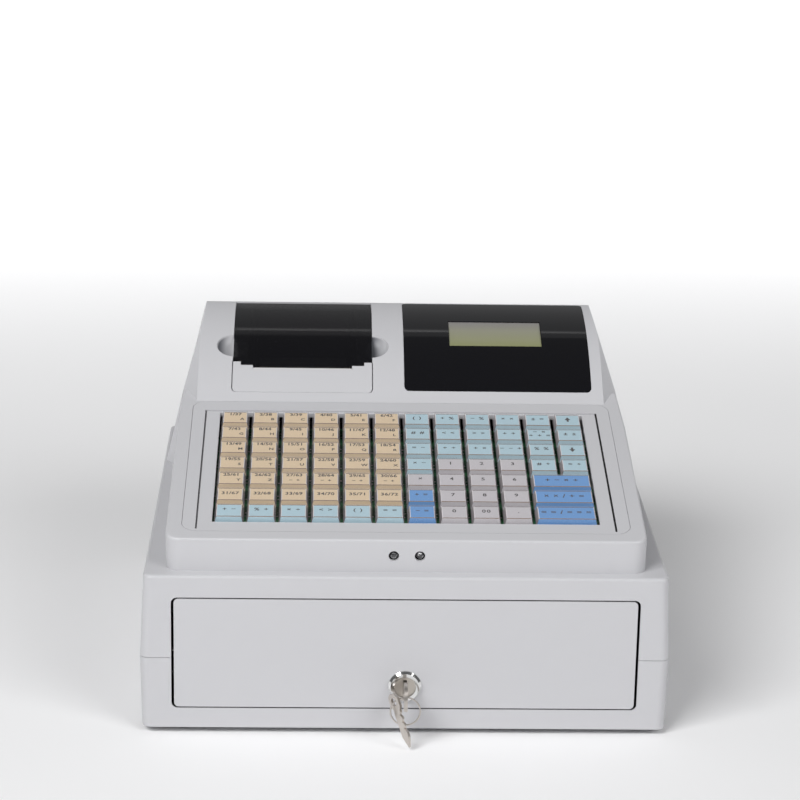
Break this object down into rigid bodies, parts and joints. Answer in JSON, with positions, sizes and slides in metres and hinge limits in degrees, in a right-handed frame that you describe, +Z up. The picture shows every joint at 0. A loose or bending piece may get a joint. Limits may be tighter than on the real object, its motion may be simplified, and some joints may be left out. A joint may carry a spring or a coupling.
{
  "type": "ticket register",
  "caption": "Counter-top cash register with printer, display, raised keys on a sloped console, and a locked cash drawer on rails.",
  "frame": {"origin": "on the counter, under the middle of the whole register with its key", "axes": "+Z up from the counter, -Y out of the drawer towards the cashier, +X to the cashier's right"},
  "size_m": [0.312, 0.3154, 0.1919],
  "materials": {
    "case_plastic": "fine-grained light grey",
    "frame_plastic": "smooth light grey",
    "switch_plastic": "black",
    "circuit_board": "green lacquer",
    "lamp_plastic": "milky",
    "smoked_plastic": "polished, nearly black",
    "display_glass": "olive display behind clear film",
    "black_plastic": "fine-grained black",
    "platen_rubber": "ground rubber",
    "gear_plastic": "natural white",
    "receipt_paper": "smooth thermal paper",
    "steel": "ground edge",
    "drawer_steel": "grey coat",
    "zinc_steel": "zinc plated",
    "roller_plastic": "natural white",
    "chrome": "bright plated",
    "nickel": "satin nickel",
    "key_steel": "nickel plated, worn",
    "spring_steel": "tempered strip",
    "supply_steel": "folded sheet",
    "foot_rubber": "soft black",
    "clip_plastic": "black",
    "cream_keys": "cream label under a clear cap",
    "pale_blue_keys": "pale blue label under a clear cap",
    "grey_keys": "grey label under a clear cap",
    "blue_keys": "blue label under a clear cap"
  },
  "bodies": {
    "case": {"lower_case": "case_plastic", "upper_case": "case_plastic", "equipment_shelf": "zinc_steel", "keyboard_frame": "frame_plastic", "key_deck": "frame_plastic", "key_switches": "switch_plastic", "keyboard_board": "circuit_board", "display_windows": "smoked_plastic", "lcd_module": "display_glass", "printer_plate": "case_plastic", "printer_body": "black_plastic", "tear_bar": "steel", "indicator_lamps": "lamp_plastic", "main_board": "circuit_board", "power_supply": "supply_steel", "power_inlet": "black_plastic", "feet": "foot_rubber", "case_screws": "zinc_steel", "drawer_rails": "zinc_steel", "latch_solenoid": "zinc_steel", "kick_spring": "spring_steel"},
    "drawer": {"drawer_box": "drawer_steel", "drawer_front": "case_plastic", "cash_tray": "black_plastic", "lock_housing": "chrome"},
    "roller_pair": {"drawer_rollers": "roller_plastic"},
    "lock": {"lock_plug": "nickel", "lock_cam": "zinc_steel", "lock_key": "key_steel"},
    "ring": {"key_ring": "key_steel"},
    "hanging_key": {"spare_key": "key_steel"},
    "clip_left": {"bill_clip_left": "clip_plastic"},
    "clip_middle": {"bill_clip_middle": "clip_plastic"},
    "clip_right": {"bill_clip_right": "clip_plastic"},
    "latch": {"latch_hook": "zinc_steel"},
    "cover": {"printer_cover": "smoked_plastic"},
    "platen": {"platen_roller": "platen_rubber"},
    "motor": {"motor_gear": "gear_plastic"},
    "paper": {"paper_roll": "receipt_paper"},
    "body_number_key_0": {"number_key_0": "grey_keys"},
    "body_number_key_1": {"number_key_1": "grey_keys"},
    "body_number_key_2": {"number_key_2": "grey_keys"},
    "body_number_key_3": {"number_key_3": "grey_keys"},
    "body_number_key_4": {"number_key_4": "grey_keys"},
    "body_number_key_5": {"number_key_5": "grey_keys"},
    "body_number_key_6": {"number_key_6": "grey_keys"},
    "body_number_key_7": {"number_key_7": "grey_keys"},
    "body_number_key_8": {"number_key_8": "grey_keys"},
    "body_number_key_9": {"number_key_9": "grey_keys"},
    "body_number_key_00": {"number_key_00": "grey_keys"},
    "body_number_key_point": {"number_key_point": "grey_keys"},
    "body_quantity_key": {"quantity_key": "grey_keys"},
    "body_blue_key_back": {"blue_key_back": "blue_keys"},
    "body_blue_key_front": {"blue_key_front": "blue_keys"},
    "body_wide_key_1": {"wide_key_1": "blue_keys"},
    "body_wide_key_2": {"wide_key_2": "blue_keys"},
    "body_wide_key_3": {"wide_key_3": "blue_keys"},
    "body_preset_keys": {"preset_keys": "cream_keys"},
    "body_front_function_keys": {"front_function_keys": "pale_blue_keys"},
    "body_function_keys": {"function_keys": "pale_blue_keys"}
  },
  "joints": [
    {"name": "drawer_slide", "type": "slide", "parent": "case", "child": "drawer", "axis": [0, -1, 0], "range_m": [0, 0.2]},
    {"name": "roller_spin", "type": "hinge", "parent": "drawer", "child": "roller_pair", "pos_m": [0, 0.11975, 0.04025], "axis": [1, 0, 0], "continuous": true},
    {"name": "lock_turn", "type": "hinge", "parent": "drawer", "child": "lock", "pos_m": [0, -0.13225, 0.0311], "axis": [0, 1, 0], "range_deg": [0, 90]},
    {"name": "ring_swing", "type": "hinge", "parent": "lock", "child": "ring", "pos_m": [0, -0.14925, 0.03105], "axis": [1, 0, 0], "range_deg": [-60, 25]},
    {"name": "hanging_key_swing", "type": "hinge", "parent": "ring", "child": "hanging_key", "pos_m": [-0.00629, -0.14925, 0.02838], "axis": [-0.7899, -0.6018, -0.118], "range_deg": [0, 15]},
    {"name": "latch_turn", "type": "hinge", "parent": "case", "child": "latch", "pos_m": [0.04, 0.14875, 0.074], "axis": [1, 0, 0], "range_deg": [0, 16]},
    {"name": "cover_hinge", "type": "hinge", "parent": "case", "child": "cover", "pos_m": [-0.06315, 0.13335, 0.18509], "axis": [-1, 0, 0], "range_deg": [0, 80]},
    {"name": "platen_spin", "type": "hinge", "parent": "case", "child": "platen", "pos_m": [-0.06315, 0.07125, 0.16], "axis": [1, 0, 0], "continuous": true},
    {"name": "motor_spin", "type": "hinge", "parent": "case", "child": "motor", "pos_m": [-0.06315, 0.06897, 0.14705], "axis": [1, 0, 0], "continuous": true},
    {"name": "paper_spin", "type": "hinge", "parent": "case", "child": "paper", "pos_m": [-0.06315, 0.10275, 0.1433], "axis": [1, 0, 0], "continuous": true},
    {"name": "clip_left_lift", "type": "hinge", "parent": "drawer", "child": "clip_left", "pos_m": [-0.08233, 0.11925, 0.064], "axis": [-1, 0, 0], "range_deg": [0, 24], "stiffness_Nm_per_rad": 0.02, "springref_deg": -22.92},
    {"name": "clip_middle_lift", "type": "hinge", "parent": "drawer", "child": "clip_middle", "pos_m": [0, 0.11925, 0.064], "axis": [-1, 0, 0], "range_deg": [0, 24], "stiffness_Nm_per_rad": 0.02, "springref_deg": -22.92},
    {"name": "clip_right_lift", "type": "hinge", "parent": "drawer", "child": "clip_right", "pos_m": [0.08233, 0.11925, 0.064], "axis": [-1, 0, 0], "range_deg": [0, 24], "stiffness_Nm_per_rad": 0.02, "springref_deg": -22.92},
    {"name": "number_key_0_press", "type": "slide", "parent": "case", "child": "body_number_key_0", "axis": [0, 0.1959, -0.9806], "range_m": [0, 0.003], "stiffness_N_per_m": 180, "springref_m": -0.001},
    {"name": "number_key_1_press", "type": "slide", "parent": "case", "child": "body_number_key_1", "axis": [0, 0.1959, -0.9806], "range_m": [0, 0.003], "stiffness_N_per_m": 180, "springref_m": -0.001},
    {"name": "number_key_2_press", "type": "slide", "parent": "case", "child": "body_number_key_2", "axis": [0, 0.1959, -0.9806], "range_m": [0, 0.003], "stiffness_N_per_m": 180, "springref_m": -0.001},
    {"name": "number_key_3_press", "type": "slide", "parent": "case", "child": "body_number_key_3", "axis": [0, 0.1959, -0.9806], "range_m": [0, 0.003], "stiffness_N_per_m": 180, "springref_m": -0.001},
    {"name": "number_key_4_press", "type": "slide", "parent": "case", "child": "body_number_key_4", "axis": [0, 0.1959, -0.9806], "range_m": [0, 0.003], "stiffness_N_per_m": 180, "springref_m": -0.001},
    {"name": "number_key_5_press", "type": "slide", "parent": "case", "child": "body_number_key_5", "axis": [0, 0.1959, -0.9806], "range_m": [0, 0.003], "stiffness_N_per_m": 180, "springref_m": -0.001},
    {"name": "number_key_6_press", "type": "slide", "parent": "case", "child": "body_number_key_6", "axis": [0, 0.1959, -0.9806], "range_m": [0, 0.003], "stiffness_N_per_m": 180, "springref_m": -0.001},
    {"name": "number_key_7_press", "type": "slide", "parent": "case", "child": "body_number_key_7", "axis": [0, 0.1959, -0.9806], "range_m": [0, 0.003], "stiffness_N_per_m": 180, "springref_m": -0.001},
    {"name": "number_key_8_press", "type": "slide", "parent": "case", "child": "body_number_key_8", "axis": [0, 0.1959, -0.9806], "range_m": [0, 0.003], "stiffness_N_per_m": 180, "springref_m": -0.001},
    {"name": "number_key_9_press", "type": "slide", "parent": "case", "child": "body_number_key_9", "axis": [0, 0.1959, -0.9806], "range_m": [0, 0.003], "stiffness_N_per_m": 180, "springref_m": -0.001},
    {"name": "number_key_00_press", "type": "slide", "parent": "case", "child": "body_number_key_00", "axis": [0, 0.1959, -0.9806], "range_m": [0, 0.003], "stiffness_N_per_m": 180, "springref_m": -0.001},
    {"name": "number_key_point_press", "type": "slide", "parent": "case", "child": "body_number_key_point", "axis": [0, 0.1959, -0.9806], "range_m": [0, 0.003], "stiffness_N_per_m": 180, "springref_m": -0.001},
    {"name": "quantity_key_press", "type": "slide", "parent": "case", "child": "body_quantity_key", "axis": [0, 0.1959, -0.9806], "range_m": [0, 0.003], "stiffness_N_per_m": 180, "springref_m": -0.001},
    {"name": "blue_key_back_press", "type": "slide", "parent": "case", "child": "body_blue_key_back", "axis": [0, 0.1959, -0.9806], "range_m": [0, 0.003], "stiffness_N_per_m": 180, "springref_m": -0.001},
    {"name": "blue_key_front_press", "type": "slide", "parent": "case", "child": "body_blue_key_front", "axis": [0, 0.1959, -0.9806], "range_m": [0, 0.003], "stiffness_N_per_m": 180, "springref_m": -0.001},
    {"name": "wide_key_1_press", "type": "slide", "parent": "case", "child": "body_wide_key_1", "axis": [0, 0.1959, -0.9806], "range_m": [0, 0.003], "stiffness_N_per_m": 180, "springref_m": -0.001},
    {"name": "wide_key_2_press", "type": "slide", "parent": "case", "child": "body_wide_key_2", "axis": [0, 0.1959, -0.9806], "range_m": [0, 0.003], "stiffness_N_per_m": 180, "springref_m": -0.001},
    {"name": "wide_key_3_press", "type": "slide", "parent": "case", "child": "body_wide_key_3", "axis": [0, 0.1959, -0.9806], "range_m": [0, 0.003], "stiffness_N_per_m": 180, "springref_m": -0.001},
    {"name": "preset_keys_press", "type": "slide", "parent": "case", "child": "body_preset_keys", "axis": [0, 0.1959, -0.9806], "range_m": [0, 0.003], "stiffness_N_per_m": 6480, "springref_m": -0.001},
    {"name": "front_function_keys_press", "type": "slide", "parent": "case", "child": "body_front_function_keys", "axis": [0, 0.1959, -0.9806], "range_m": [0, 0.003], "stiffness_N_per_m": 1080, "springref_m": -0.001},
    {"name": "function_keys_press", "type": "slide", "parent": "case", "child": "body_function_keys", "axis": [0, 0.1959, -0.9806], "range_m": [0, 0.003], "stiffness_N_per_m": 3780, "springref_m": -0.001}
  ],
  "couplings": [
    {"joint": "roller_spin", "follows": "drawer_slide", "rad_per_m": 166.67},
    {"joint": "motor_spin", "follows": "platen_spin", "ratio": -1.6}
  ]
}
